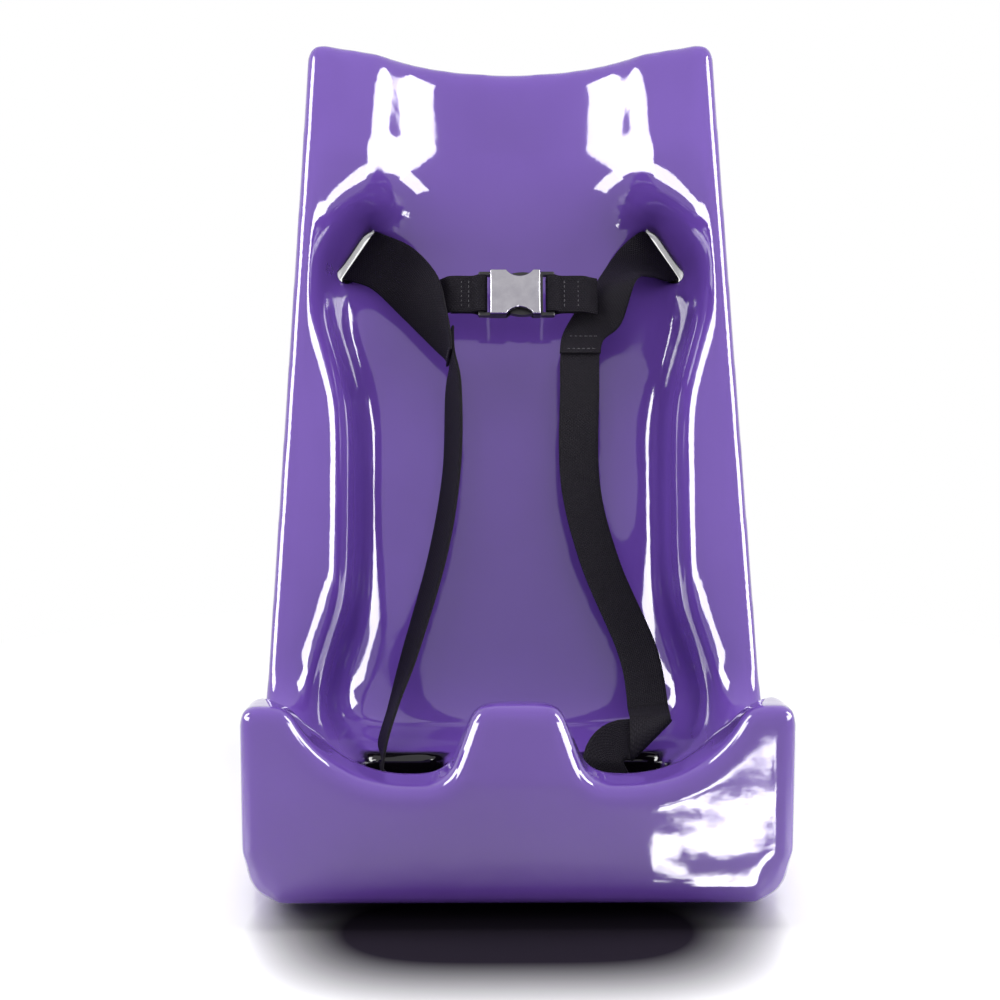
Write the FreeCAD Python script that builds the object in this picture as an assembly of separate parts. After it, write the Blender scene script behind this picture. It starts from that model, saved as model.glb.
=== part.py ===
import FreeCAD, Part

import math
import os

from FreeCAD import Matrix, Vector

# A child's feeder seat: one moulded foam bucket with a seamless skin, and the webbing harness
# that is threaded through its four slots and closes with a side release chest buckle.
# The origin is the centre of the flat face that the seat rests on. +Z is up, -Y is the front,
# and +X is the right hand side of somebody who looks at the front.
# A station is a height measured up the wing plane, which holds the front faces of the two side
# wings. A depth is measured square to that plane, into the back.

# Seat shell, outside
base_width = 305.0            # across the front block
top_width = 259.5             # across the top of the back
block_height = 128.0          # floor to the top of the front horns
front_lift = 15.0             # the front bottom edge is this far above the floor
front_curl_length = 68.0      # the underside comes down to the floor over this length
front_curl_radius = 120.0
recline = 25.0                # the wing plane leans back from the vertical, in degrees
wing_foot_reach = 136.0       # front face to the wing plane, measured along the floor
back_length = 515.0           # floor to the top edge, measured up the wing plane
back_top_thickness = 70.0     # wing plane to rear face at the top
back_foot_thickness = 132.0   # wing plane to rear face where the wing plane meets the floor
heel_radius = 42.0            # rounding between underside and rear face
saddle_height = 80.0          # lowest point of the side walls, behind the horns
saddle_rear_radius = 40.0     # rounding from the saddle up into the wing faces
saddle_front_radius = 30.0    # rounding from the saddle up to the horn
horn_depth = 56.0             # front face to the rear end of a horn's flat top
horn_slope = 50.0             # a horn's rear face falls at this angle, in degrees
horn_radius = 13.0            # rounding of a horn's rear edge and of the edge at the cut-out
taper_start = 54.0            # station where the sides start to draw in
edge_radius = 8.0             # rounding of every outer edge and of the bucket's rim

# Bucket
cushion_top_depth = 50.0      # wing plane to the surface that the child leans on, at the top
cushion_foot_depth = 90.0     # and at station zero
pan_height = 46.0             # floor to the pan at the crease
pan_rise = 5.0                # the pan climbs this much towards the front
front_wall = 44.0             # thickness of the front wall
crease_radius = 38.0          # between the pan and the back
pan_corner_radius = 48.0
bucket_blend = 28.0           # between the walls and the floor of the bucket
pan_overlap = 16.0            # the pan's walls and the back's walls share this much length
pan_reach = 60.0
hip_width = 241.0
hip_station = 105.0
waist_width = 203.0
waist_low_station = 162.0
waist_high_station = 286.0
shoulder_width = 240.0
shoulder_low_station = 350.0
shoulder_high_station = 396.0
crown_width = 186.0
crown_station = 424.0
hip_bend = 55.0
waist_low_bend = 55.0
waist_high_bend = 90.0
shoulder_low_bend = 60.0
shoulder_high_bend = 40.0
crown_bend = 40.0

# Head trough
trough_width = 164.0          # between the creases beside the head
trough_crease_depth = 13.0
trough_foot_station = 340.0
trough_foot_width = 200.0     # where the inward slope of the wings starts, at the foot
trough_head_width = 244.0     # and beyond the top
trough_step = 3.0             # the trough runs out this much above the bucket's surface
trough_past_top = 60.0
trough_radius = 3.0

# Front wall, seen from the front
cutout_height = 81.5          # lowest point of the leg cut-outs
cutout_slope = 64.0           # degrees
cutout_radius = 68.0
cutout_depth = 80.0
horn_top_width = 26.5         # side of the block to the start of the cut-out
pommel_top_width = 46.0
pommel_base_width = 78.0
pommel_height = 127.0
pommel_corner_radius = 12.0
pommel_root_radius = 18.0

# Strap slots
shoulder_slot_reach = 98.5    # middle plane to the slot's centre
shoulder_slot_station = 395.0
shoulder_slot_tilt = 57.0     # the slot falls outwards at this angle, in degrees
shoulder_slot_length = 44.0
shoulder_slot_width = 11.0
hip_slot_reach = 67.0
hip_slot_setback = 168.0      # front face to the middle of the slot, which goes down the pan
hip_slot_length = 52.0
hip_slot_width = 29.5
hip_slot_end_radius = 13.5
channel_width = 32.0          # the channel under the seat that leads the hip webbing rearwards
channel_depth = 6.5
shoulder_slot_end_radius = 4.5

# Webbing
webbing_thickness = 1.8
shoulder_webbing = 38.0       # width
hip_webbing = 25.0            # width
rear_gap = 2.3                # the slide's middle bar passes between the rear run and the skin
sewn_gap = 0.1                # between two layers that are sewn together
rear_reach = 67.0             # middle plane to the runs down the rear face
rear_join_station = 262.0     # lower end of the shoulder strap's tail
rear_join_length = 24.0       # the two tails are sewn together over this length
rear_bend_radius = 7.0        # where the webbing turns from the rear face into a slot
junction_reach = 42.0         # middle plane to the middle of the hip strap's upper end
junction_station = 322.0      # lower end of the shoulder strap
junction_depth = 27.0
junction_width = 26.0         # the shoulder strap is folded to this width at its end
junction_overlap = 18.0       # the hip strap is sewn on over this length
fold_height = 18.0            # pan to the middle of the right hip strap's fold
left_dive = 7.7               # the left hip strap goes this far down its slot edge-on
steps = 5                     # sections between two points of a route

# Rear slide on the hip strap
slide_station = 180.0
slide_travel = 30.0           # it moves this far each way
slide_length = 24.0
slide_rail = 3.5              # width of its side rails
slide_bar = 4.0
slide_thickness = 1.6
slide_clearance = 0.35
slide_corner_radius = 2.0

# Chest buckle, in its own frame: x along the chest, y up along its face, z towards the viewer
buckle_reach = 2.5            # middle plane to the buckle's centre
buckle_station = 357.0
buckle_depth = 24.0
buckle_lean = 30.0            # its face leans back from the vertical, in degrees
housing_length = 32.0
housing_height = 30.0
housing_thickness = 9.0
housing_wall = 1.6
housing_radius = 2.0
cover_thickness = 1.8
cover_radius = 0.8
scallop_radius = 10.5
scallop_depth = 4.4
scallop_shift = 2.8           # the thumb scallops sit this far towards the plug
window_length = 17.0
loop_slot = 3.9               # the webbing passes through here
loop_bar = 3.6
loop_thickness = 4.0
loop_radius = 1.0
plug_clearance = 0.35
collar_length = 2.6
flange_length = 1.2
tongue_height = 6.0
tongue_length = 20.0
tongue_thickness = 3.0
arm_length = 23.0
arm_height = 3.2
arm_offset = 7.0              # buckle's axis to the inner face of an arm
arm_thickness = 4.0
arm_setback = 2.15            # mouth of the housing to the pivot of an arm
pad_length = 14.0
pad_rise = 1.2                # the middle of a pad stands above the housing's inner wall by this
catch_rise = 0.4              # and its catch by this
release_angle = 9.0           # an arm bends inwards this far, in degrees
unplug_travel = 12.0          # each half of the buckle draws away this far
sewn_setback = 4.5            # loop bar to the place where the strap's two layers meet
sewn_length = 13.0
chest_end_reach = 52.0        # buckle's centre to the outer end of a chest strap
left_end_drop = 8.5           # how far that end lies behind the buckle's middle
right_end_drop = 3.6
stitch_thickness = 0.5
stitch_width = 1.2
stitch_inset = 3.0
stitch_setback = 2.0
stitch_gap = 0.05             # between thread and webbing

# The free run of a shoulder strap. Each row gives the share of the way from the slot to the
# junction, how far the webbing bows forwards as a share of the slot's depth, and the shares of the
# slot's and of the junction's direction in the webbing's width.
shoulder_run_shares = [
    (0.08, 0.20, 1.0, 0.0),
    (0.30, 0.28, 0.95, 0.1),
    (0.60, 0.20, 0.60, 0.45),
]

# The free runs of the hip straps, from the junction down. Each row gives the share of the way from the
# junction to the hip slot, for the reach, for the station and for the depth, then the direction
# of the webbing's width as shares of across, up the back and into the back.
right_hip_run_shares = [
    (-0.02, 0.08, -0.10, (1.0, 0.0, 0.0)),
    (-0.02, 0.31, -0.56, (1.0, 0.0, 0.1)),
    (0.50, 0.507, -0.68, (1.0, 0.15, 0.15)),
    (1.45, 0.72, -0.55, (1.0, 0.25, 0.15)),
    (1.68, 0.86, -0.05, (1.0, 0.1, 0.0)),
]
left_hip_run_shares = [
    (-0.12, 0.08, -0.10, (0.4, 0.0, 1.0)),
    (-0.10, 0.27, -0.50, (0.28, 0.0, 1.0)),
    (0.33, 0.48, -0.68, (0.22, 0.0, 1.0)),
    (0.82, 0.72, -0.50, (0.15, 0.0, 1.0)),
    (1.17, 0.852, -0.05, (0.10, 0.0, 1.0)),
    (1.46, 0.94, 0.40, (0.10, 0.1, 1.0)),
]
left_junction_turn_shares = (0.8, 0.0, 0.6)

overrun = 400.0               # how far cutting tools reach past what they cut
floor_tolerance = 20.0        # edges this near the bucket's floor belong to it
seam_angle = 3.0              # faces that meet at less than this, in degrees, run smoothly on
crease_angle = 40.0           # edges sharper than this get rounded beside the trough

lean = math.radians(recline)
up_back = Vector(0, math.sin(lean), math.cos(lean))
into_back = Vector(0, math.cos(lean), -math.sin(lean))
across = Vector(1, 0, 0)
floor_way = Vector(0, 1, 0)
wing_foot = Vector(0, wing_foot_reach, 0)


def wing(station, depth=0.0, x=0.0):
    """A point at this station and depth, x to the right of the middle plane."""
    return wing_foot + up_back * station + into_back * depth + across * x


def meet(p, p_way, q, q_way):
    """Where two lines in the middle plane cross."""
    cross = p_way.y * q_way.z - p_way.z * q_way.y
    gap = q - p
    along = (gap.y * q_way.z - gap.z * q_way.y) / cross
    return p + p_way * along


def rounded(corners):
    """A closed wire through (point, radius) corners, each rounded by its own radius."""
    count = len(corners)
    starts, middles, ends = [], [], []
    for i, (here, radius) in enumerate(corners):
        to_before = (corners[i - 1][0] - here).normalize()
        to_after = (corners[(i + 1) % count][0] - here).normalize()
        half = to_before.getAngle(to_after) / 2
        reach = radius / math.tan(half)
        inward = (to_before + to_after).normalize()
        starts.append(here + to_before * reach)
        middles.append(here + inward * (radius / math.sin(half) - radius))
        ends.append(here + to_after * reach)
    edges = []
    for i in range(count):
        if corners[i][1]:
            edges.append(Part.Arc(starts[i], middles[i], ends[i]).toShape())
        edges.append(Part.LineSegment(ends[i], starts[(i + 1) % count]).toShape())
    return Part.Wire(edges)


def prism(wire, start, way):
    """The solid that a flat outline sweeps from start along way."""
    face = Part.Face(wire)
    face.translate(start)
    return face.extrude(way)


def edge_angle(shape, edge):
    """The angle in degrees between the two faces that meet at an edge."""
    faces = shape.ancestorsOfType(edge, Part.Face)
    if len(faces) != 2:
        return 0.0
    middle = edge.valueAt((edge.FirstParameter + edge.LastParameter) / 2)
    normals = [face.normalAt(*face.Surface.parameter(middle)) for face in faces]
    return math.degrees(normals[0].getAngle(normals[1]))


def round_edges(shape, radius, sharpest=seam_angle):
    edges = [edge for edge in shape.Edges if edge_angle(shape, edge) > sharpest]
    return shape.makeFillet(radius, edges)


def one_solid(shape):
    return shape.removeSplitter().Solids[0]


# Seat

def rear_depth(station):
    """Depth of the rear face."""
    share = station / back_length
    return back_foot_thickness + (back_top_thickness - back_foot_thickness) * share


def cushion_depth(station):
    """Depth of the surface that the child leans on."""
    share = station / back_length
    return cushion_foot_depth + (cushion_top_depth - cushion_foot_depth) * share


def outer_corners():
    """The side view, as (point, radius) corners from the front bottom edge round to the horn."""
    top_front = wing(back_length)
    top_rear = wing(back_length, back_top_thickness)
    rear_way = (wing(0, back_foot_thickness) - top_rear).normalize()
    heel = meet(top_rear, rear_way, Vector(), floor_way)
    saddle = Vector(0, 0, saddle_height)
    fall = math.radians(horn_slope)
    horn_rear = Vector(0, horn_depth, block_height)
    horn_way = Vector(0, math.cos(fall), -math.sin(fall))
    return [
        (Vector(0, 0, front_lift), 0.0),
        (Vector(0, front_curl_length, 0), front_curl_radius),
        (heel, heel_radius),
        (top_rear, 0.0),
        (top_front, 0.0),
        (meet(wing_foot, up_back, saddle, floor_way), saddle_rear_radius),
        (meet(horn_rear, horn_way, saddle, floor_way), saddle_front_radius),
        (horn_rear, 0.0),
        (Vector(0, 0, block_height), 0.0),
    ]


def resting_span():
    """Where the flat resting face starts and ends, counted from the front face."""
    corners = outer_corners()
    ends = []
    for i, way in ((1, 1), (2, -1)):
        here, radius = corners[i]
        before = (corners[i - 1][0] - here).normalize()
        after = (corners[i + 1][0] - here).normalize()
        ends.append(here.y + way * radius / math.tan(before.getAngle(after) / 2))
    return ends


def outer_body():
    half = base_width / 2
    half_top = top_width / 2
    body = prism(rounded(outer_corners()), across * -half, across * base_width)
    outline = [
        wing(-overrun, 0, -half), wing(taper_start, 0, -half), wing(back_length, 0, -half_top),
        wing(back_length, 0, half_top), wing(taper_start, 0, half), wing(-overrun, 0, half),
    ]
    outline.append(outline[0])
    sides = prism(Part.makePolygon(outline), into_back * -overrun, into_back * (2 * overrun))
    return body.common(sides)


def mirrored(corners):
    """Adds the left half to (point, radius) corners that run up the right half."""
    left = [(Vector(-point.x, point.y, point.z), radius) for point, radius in reversed(corners)]
    return corners + left


def back_walls():
    """The hourglass opening between the wings, cut square to the wing plane."""
    right = [
        (hip_width, -overrun, 0.0),
        (hip_width, hip_station, hip_bend),
        (waist_width, waist_low_station, waist_low_bend),
        (waist_width, waist_high_station, waist_high_bend),
        (shoulder_width, shoulder_low_station, shoulder_low_bend),
        (shoulder_width, shoulder_high_station, shoulder_high_bend),
        (crown_width, crown_station, crown_bend),
    ]
    corners = mirrored([(wing(station, 0, width / 2), bend) for width, station, bend in right])
    walls = prism(rounded(corners), into_back * -overrun, into_back * (2 * overrun))
    join = front_wall + pan_corner_radius + pan_overlap
    low = Vector(-overrun, -overrun, -2 * overrun)
    return walls.cut(Part.makeBox(2 * overrun, overrun + join, 4 * overrun, low))


def pan_walls():
    """The space over the pan, cut straight down."""
    half = hip_width / 2
    end = front_wall + pan_corner_radius + pan_overlap + pan_reach
    corners = mirrored([
        (Vector(half, front_wall, -overrun), pan_corner_radius),
        (Vector(half, end, -overrun), 0.0),
    ])
    return prism(rounded(corners), Vector(), Vector(0, 0, 2 * overrun))


def floor_lines():
    """The back surface and the pan in side view, each as (point, direction)."""
    top = wing(back_length, cushion_depth(back_length))
    down = (wing(0, cushion_depth(0)) - top).normalize()
    pan_front = Vector(0, front_wall, pan_height + pan_rise)
    pan_way = Vector(0, wing_foot_reach, -pan_rise).normalize()
    return (top, down), (pan_front, pan_way)


def is_floor_edge(edge):
    """Tells the edges between the bucket's floor and its walls from all others."""
    (top, down), (pan_front, pan_way) = floor_lines()
    back_normal = Vector(0, -down.z, down.y)
    pan_normal = Vector(0, -pan_way.z, pan_way.y)
    span = edge.LastParameter - edge.FirstParameter
    quarters = range(5)
    points = [edge.valueAt(edge.FirstParameter + span * i / quarters[-1]) for i in quarters]
    for point in points:
        from_back = abs((point - top).dot(back_normal))
        from_pan = abs((point - pan_front).dot(pan_normal))
        if min(from_back, from_pan) > floor_tolerance:
            return False
    runs_across = (points[0] - points[-1]).cross(across).Length < Part.Vertex(0, 0, 0).Tolerance
    at_an_end = abs(points[0].y - front_wall) < edge_radius or points[0].z > block_height
    return at_an_end or not runs_across


def bucket():
    """The space that the child sits in, with its floor rounded into its walls."""
    (top, down), (pan_front, pan_way) = floor_lines()
    far_top = top - down * overrun
    crease = meet(top, down, pan_front, pan_way)
    far_front = pan_front - pan_way * overrun
    corners = [
        (far_front, 0.0), (crease, crease_radius), (far_top, 0.0),
        (far_top - into_back * (2 * overrun), 0.0), (far_front + Vector(0, 0, 2 * overrun), 0.0),
    ]
    over_floor = prism(rounded(corners), across * -overrun, across * (2 * overrun))
    walls = back_walls().fuse(pan_walls()).removeSplitter()
    space = walls.common(over_floor)
    return space.makeFillet(bucket_blend, [edge for edge in space.Edges if is_floor_edge(edge)])


def leg_cutouts():
    """Both leg openings with the pommel between them, cut through the front wall."""
    fall = math.radians(cutout_slope)
    horn = base_width / 2 - horn_top_width
    low = horn - (block_height - cutout_height) / math.tan(fall)
    outside = base_width
    right = [
        (pommel_top_width / 2, pommel_height, pommel_corner_radius),
        (pommel_base_width / 2, cutout_height, pommel_root_radius),
        (low, cutout_height, cutout_radius),
        (horn, block_height, 0.0),
        (outside, block_height, 0.0),
        (outside, block_height + overrun, 0.0),
    ]
    corners = [(Vector(x, 0, z), radius) for x, z, radius in right]
    corners += [(Vector(-point.x, 0, point.z), radius) for point, radius in reversed(corners)]
    return prism(rounded(corners), Vector(0, -cutout_depth, 0), Vector(0, 2 * cutout_depth, 0))


def trough_section(station, slope_width, step):
    half = trough_width / 2
    slope = slope_width / 2
    left = [
        wing(station, -trough_past_top, -slope), wing(station, 0, -slope),
        wing(station, trough_crease_depth, -half),
    ]
    right = [Vector(-point.x, point.y, point.z) for point in reversed(left)]
    deepest = wing(station, cushion_depth(station) - step)
    edges = [Part.LineSegment(p, q).toShape() for p, q in zip(left, left[1:])]
    edges.append(Part.Arc(left[-1], deepest, right[0]).toShape())
    edges += [Part.LineSegment(p, q).toShape() for p, q in zip(right, right[1:])]
    edges.append(Part.LineSegment(right[-1], left[0]).toShape())
    return Part.Wire(edges)


def head_trough():
    low = trough_section(trough_foot_station, trough_foot_width, trough_step)
    high = trough_section(back_length + trough_past_top, trough_head_width, 0.0)
    return Part.makeLoft([low, high], True, True)


def slot_way(side):
    """The long direction of a shoulder slot, which falls outwards."""
    tilt = math.radians(shoulder_slot_tilt)
    return across * (side * math.cos(tilt)) - up_back * math.sin(tilt)


def slot_tool(centre, way, square, run, length, width, radius):
    """A round ended slot, long along way and wide along square, that runs both ways from centre."""
    corners = []
    for along, aside in ((1, 1), (1, -1), (-1, -1), (-1, 1)):
        point = centre + way * (along * length / 2) + square * (aside * width / 2)
        corners.append((point, radius))
    return prism(rounded(corners), run * -overrun, run * (2 * overrun))


def shoulder_slot(side):
    centre = wing(shoulder_slot_station, 0, side * shoulder_slot_reach)
    way = slot_way(side)
    square = way.cross(into_back)
    return slot_tool(centre, way, square, into_back, shoulder_slot_length, shoulder_slot_width,
                     shoulder_slot_end_radius)


def hip_slot(side):
    centre = Vector(side * hip_slot_reach, hip_slot_setback, 0)
    run = Vector(0, 0, 1)
    tool = slot_tool(centre, across, floor_way, run, hip_slot_length, hip_slot_width,
                     hip_slot_end_radius)
    below_rim = Part.makeBox(2 * overrun, 2 * overrun, overrun + block_height,
                             Vector(-overrun, -overrun, -overrun))
    return tool.common(below_rim)


def channel(side):
    """The channel under the seat, from the hip slot to the heel."""
    corner = Vector(side * hip_slot_reach - channel_width / 2, hip_slot_setback, -channel_depth)
    return Part.makeBox(channel_width, overrun, 2 * channel_depth, corner)


def is_horn_edge(edge):
    """Tells the rear and the inner edge of each horn's flat top."""
    fine = Part.Vertex(0, 0, 0).Tolerance
    ends = [vertex.Point for vertex in edge.Vertexes]
    inner = base_width / 2 - horn_top_width
    on_top = all(abs(end.z - block_height) < fine for end in ends)
    rear = all(abs(end.y - horn_depth) < fine for end in ends)
    beside = all(abs(abs(end.x) - inner) < fine for end in ends)
    return on_top and (rear or beside)


def seat_body():
    shell = one_solid(outer_body().cut([bucket(), leg_cutouts()]))
    shell = shell.makeFillet(horn_radius, [edge for edge in shell.Edges if is_horn_edge(edge)])
    shell = round_edges(shell, edge_radius)
    shell = one_solid(shell.cut(head_trough()))
    shell = round_edges(shell, trough_radius, crease_angle)
    tools = []
    for side in (-1, 1):
        tools += [shoulder_slot(side), hip_slot(side), channel(side)]
    return one_solid(shell.cut(tools))


# Webbing

def ribbon(sections):
    """A flat strap through sections, each given as its centre and half its width as a vector."""
    outlines = []
    for i, (centre, half) in enumerate(sections):
        before = sections[max(i - 1, 0)][0]
        after = sections[min(i + 1, len(sections) - 1)][0]
        thick = (after - before).cross(half).normalize() * (webbing_thickness / 2)
        corners = [centre - half - thick, centre + half - thick]
        corners += [centre + half + thick, centre - half + thick, centre - half - thick]
        outlines.append(Part.makePolygon(corners))
    return Part.makeLoft(outlines, True, True)


def blend_of(a, b, c, d, share):
    """A smooth curve from b to c that heads from a and towards d."""
    square, cube = share ** 2, share ** 3
    curve = b * 2 + (c - a) * share + (a * 2 - b * 5 + c * 4 - d) * square
    return (curve + (b * 3 - a - c * 3 + d) * cube) / 2


def smooth(sections):
    """More sections between those given, on a smooth curve through them."""
    result = []
    for i in range(len(sections) - 1):
        a, b = sections[max(i - 1, 0)], sections[i]
        c, d = sections[i + 1], sections[min(i + 2, len(sections) - 1)]
        for step in range(steps):
            share = step / steps
            result.append(tuple(blend_of(*ends, share) for ends in zip(a, b, c, d)))
    return result + [sections[-1]]


def half_width(width, side, x, up=0.0, depth=0.0):
    """Half the webbing's width as a vector, from shares of the three directions."""
    way = across * (side * x) + up_back * up + into_back * depth
    return way.normalize() * (width / 2)


def on_rear(station, side, layer=0, reach=rear_reach):
    """A point in the middle of a webbing run on the rear face, in this layer of webbing."""
    height = rear_gap + webbing_thickness / 2 + layer * (webbing_thickness + sewn_gap)
    return wing(station, rear_depth(station) + height, side * reach)


def shoulder_tail(side):
    """The run from the rear join up to the shoulder slot and into it."""
    inward = half_width(2.0, side, -math.sin(math.radians(shoulder_slot_tilt)),
                        -math.cos(math.radians(shoulder_slot_tilt)))
    centre = wing(shoulder_slot_station, 0, side * shoulder_slot_reach)
    to_run = (shoulder_slot_reach - rear_reach) / abs(inward.x)
    corner = centre + inward * to_run
    start = wing(rear_join_station + rear_join_length, 0, side * rear_reach)
    end = centre + inward * rear_bend_radius
    turn = [(start, corner - start), (end, end - corner)]
    sections = [(on_rear(rear_join_station, side, 1), half_width(shoulder_webbing, side, 1))]
    for i in range(steps + 1):
        share = i / steps
        flat = start * (1 - share) ** 2 + corner * (2 * share * (1 - share)) + end * share ** 2
        heading = turn[0][1].normalize() * (1 - share) + turn[1][1].normalize() * share
        half = heading.cross(into_back).normalize() * (side * shoulder_webbing / 2)
        station = (flat - wing_foot).dot(up_back)
        layer = 1 - share
        sections.append((on_rear(station, side, layer, side * flat.x), half))
    return sections


def round_bend(sections, centre, run, count=steps):
    """Carries a strap from the end of its sections round a quarter turn into run."""
    last, half = sections[-1]
    ahead = centre - last
    ahead = ahead - run * ahead.dot(run)
    radius = ahead.Length
    ahead.normalize()
    pivot = last + run * radius
    bend = []
    for i in range(1, count + 1):
        angle = math.pi / 2 * i / count
        bend.append((pivot + ahead * (radius * math.sin(angle)) - run * (radius * math.cos(angle)), half))
    return bend


def junction(side):
    """The lower end of the shoulder strap's middle line, and half the strap's width there."""
    way = (1, 0, 0) if side > 0 else left_junction_turn_shares
    end = wing(junction_station, junction_depth, side * junction_reach)
    return end, half_width(junction_width, side, *way)


def junction_heading(side):
    """The way the webbing runs where the two straps are sewn together."""
    mouth = wing(shoulder_slot_station, cushion_depth(shoulder_slot_station), side * shoulder_slot_reach)
    end, half = junction(side)
    drawn = (end - mouth).normalize() - up_back
    return (drawn - half * (drawn.dot(half) / half.dot(half))).normalize()


def shoulder_strap(side):
    """From the rear join through the shoulder slot and forwards to the junction."""
    sections = shoulder_tail(side)
    centre = wing(shoulder_slot_station, 0, side * shoulder_slot_reach)
    sections += round_bend(sections, centre, into_back * -1)
    way = slot_way(side) * (shoulder_webbing / 2)
    sections = [(point, half if half.dot(way) > 0 else half * -1) for point, half in sections]
    in_slot = cushion_depth(shoulder_slot_station)
    mouth = centre + into_back * in_slot
    end, end_half = junction(side)
    span = end - mouth
    free = [(mouth + into_back * webbing_thickness, way)]
    for along, forward, from_slot, from_end in shoulder_run_shares:
        point = mouth + span * along - into_back * (forward * in_slot)
        free.append((point, way * from_slot + end_half * from_end))
    free.append((end - junction_heading(side) * junction_overlap, end_half))
    free.append((end, end_half))
    return ribbon(sections + smooth(free))


def hip_mouth(side):
    """Where the hip slot's middle meets the pan."""
    return Vector(side * hip_slot_reach, hip_slot_setback, pan_height)


def free_run(side):
    """The hip strap's free run from the junction down to the pan."""
    end, end_half = junction(side)
    heading = junction_heading(side)
    behind = heading.cross(end_half).normalize()
    if behind.dot(into_back) < 0:
        behind = behind * -1
    start = end + behind * (webbing_thickness + sewn_gap)
    half = end_half * (hip_webbing / junction_width)
    sections = [(start - heading * junction_overlap, half), (start, half)]
    span = hip_mouth(side) - start
    rows = right_hip_run_shares if side > 0 else left_hip_run_shares
    for reach, station, depth, way in rows:
        point = start + across * (span.x * reach) + up_back * (span.dot(up_back) * station)
        point += into_back * (span.dot(into_back) * depth)
        sections.append((point, half_width(hip_webbing, side, *way)))
    return sections


def right_fold():
    """The webbing turned over at half a right angle, then led inwards and down into its slot."""
    wide = hip_webbing / 2
    last = free_run(1)[-1][0]
    layer = webbing_thickness + sewn_gap
    fold = Vector(last.x, hip_slot_setback + layer * 2, pan_height + fold_height)
    outwards = (across - up_back) * (layer / 2 / math.sqrt(2))
    slant = (across + up_back) * wide
    behind = fold + into_back * layer
    sections = [
        (fold + up_back * (wide + layer / 2), across * wide),
        (fold, slant),
        (fold + outwards + into_back * (layer / 2), slant),
        (behind, slant),
    ]
    turn = behind - across * (wide + layer)
    pivot = turn - up_back * (wide + layer)
    for i in range(steps + 1):
        angle = math.pi / 2 * i / steps
        arm = up_back * math.cos(angle) - across * math.sin(angle)
        sections.append((pivot + arm * (wide + layer), arm * wide))
    return sections


def lower_run(side):
    """Through the hip slot, along the channel, round the heel and up the rear face."""
    half = across * (-side * hip_webbing / 2)
    up = Vector(0, 0, 1)
    middle = webbing_thickness / 2
    roof = channel_depth - slide_clearance - middle
    mouth = hip_mouth(side)
    sections = [
        (Vector(mouth.x, mouth.y, roof + 2 * rear_bend_radius), half),
        (Vector(mouth.x, mouth.y, roof + rear_bend_radius), half),
    ]
    sections += round_bend(sections, Vector(mouth.x, mouth.y + rear_bend_radius, 0), floor_way)
    heel_y = resting_span()[1]
    height = heel_radius + rear_gap + middle
    leave = math.acos((heel_radius - roof) / height)
    rear_way = wing(0, back_foot_thickness) - wing(back_length, back_top_thickness)
    steep = math.atan2(-rear_way.z, -rear_way.y)
    for i in range(steps + 1):
        angle = leave + (steep - leave) * i / steps
        y = heel_y + height * math.sin(angle)
        sections.append((Vector(mouth.x, y, heel_radius - height * math.cos(angle)), half))
    sections.append((on_rear(rear_join_station + rear_join_length, side), half))
    return sections


def hip_strap(side):
    """From the junction down to the pan, through the hip slot and up behind to the rear join."""
    below = lower_run(side)
    if side > 0:
        return ribbon(smooth(free_run(side)) + right_fold() + below)
    wide = hip_webbing / 2
    outer = Vector(hip_slot_end_radius - hip_slot_length / 2, 0, 0)
    into_slot = [
        (hip_mouth(side) + outer, floor_way * wide),
        (hip_mouth(side) + outer - Vector(0, 0, left_dive), floor_way * wide),
    ]
    return ribbon(smooth(free_run(side) + into_slot + below[:1]) + below[1:])


def box(x, y, z):
    """A box between (low, high) pairs."""
    return Part.makeBox(x[1] - x[0], y[1] - y[0], z[1] - z[0], Vector(x[0], y[0], z[0]))


def rear_ways():
    """Up the rear face, and straight out of it."""
    way = (wing(back_length, back_top_thickness) - wing(0, back_foot_thickness)).normalize()
    return way, way.cross(across)


def laid_on_rear(shape, side, station):
    """Places a shape made in the rear face's own frame: y up the face, z out of the skin."""
    way, out = rear_ways()
    spot = wing(station, rear_depth(station), side * rear_reach)
    place = Matrix(-1, 0, 0, spot.x, 0, way.y, out.y, spot.y, 0, way.z, out.z, spot.z, 0, 0, 0, 1)
    return shape.transformed(place)


def stitched_ring(width, length):
    """A rectangle of thread, centred."""
    outer = box((-width / 2, width / 2), (-length / 2, length / 2), (0, stitch_thickness))
    thread = stitch_width
    inner = box((thread - width / 2, width / 2 - thread), (thread - length / 2, length / 2 - thread),
                (0, stitch_thickness))
    return outer.cut(inner)


def rear_stitching():
    layers = rear_gap + 2 * webbing_thickness + sewn_gap + stitch_gap
    rings = []
    for side in (-1, 1):
        ring = stitched_ring(hip_webbing - 2 * stitch_inset, rear_join_length - 2 * stitch_inset)
        ring.translate(Vector(0, 0, layers))
        rings.append(laid_on_rear(ring, side, rear_join_station + rear_join_length / 2))
    return Part.makeCompound(rings)


def rear_slide(side):
    """A three bar slide: the webbing runs under the end bars and over the middle one."""
    clear = slide_clearance
    half = hip_webbing / 2 + clear
    wide = half + slide_rail
    low = clear
    high = rear_gap + webbing_thickness + clear + slide_thickness
    long = slide_length / 2
    frame = box((-wide, wide), (-long, long), (low, high))
    corners = [edge for edge in frame.Edges if edge.BoundBox.ZLength > slide_thickness]
    frame = frame.makeFillet(slide_corner_radius, corners)
    window = box((-half, half), (-long + slide_bar, long - slide_bar), (0, high + clear))
    end_bars = box((-half, half), (-long - clear, long + clear), (0, high - slide_thickness))
    frame = frame.cut([window, end_bars])
    middle = box((-half, half), (-slide_bar / 2, slide_bar / 2), (low, low + slide_thickness))
    return laid_on_rear(frame.fuse(middle), side, slide_station)


# Chest buckle

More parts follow.
